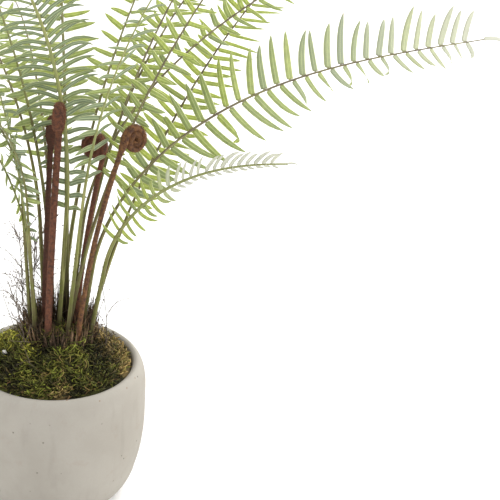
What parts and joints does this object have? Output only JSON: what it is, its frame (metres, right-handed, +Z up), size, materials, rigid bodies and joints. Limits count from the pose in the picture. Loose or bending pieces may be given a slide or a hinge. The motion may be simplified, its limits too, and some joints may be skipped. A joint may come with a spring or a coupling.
{
  "type": "potted fern",
  "caption": "Sword fern with arching fronds, young coiled fronds and a mossy crown in a rounded cement pot that stands on its flat foot.",
  "frame": {"origin": "middle of the pot's flat foot, on the surface it stands on", "axes": "+Z up, +X towards the side where the longest frond hangs out, -Y towards the viewer of the picture"},
  "size_m": [0.6829, 0.3582, 0.608],
  "materials": {
    "cement": "matte cast cement with fine pits",
    "soil": "rough crumbly potting mix",
    "moss": "shaggy dry moss",
    "crown": "rough fibrous rootstock",
    "frond": "satin leaf, paler where light comes through",
    "young_frond": "fuzzy rust-brown felt",
    "twig": "dry bark"
  },
  "bodies": {
    "root": {"pot": "cement", "soil": "soil", "moss": "moss", "crown": "crown", "frond_01": "frond", "frond_02": "frond", "frond_03": "frond", "frond_04": "frond", "frond_05": "frond", "frond_06": "frond", "frond_07": "frond", "frond_08": "frond", "frond_09": "frond", "frond_10": "frond", "frond_11": "frond", "frond_12": "frond", "frond_13": "frond", "frond_14": "frond", "frond_15": "frond", "frond_16": "frond", "frond_17": "frond", "frond_18": "frond", "young_frond_1": "young_frond", "young_frond_2": "young_frond", "young_frond_3": "young_frond", "young_frond_4": "young_frond", "dry_twig_1": "twig", "dry_twig_2": "twig", "dry_twig_3": "twig", "dry_twig_4": "twig", "dry_twig_5": "twig"}
  },
  "joints": []
}
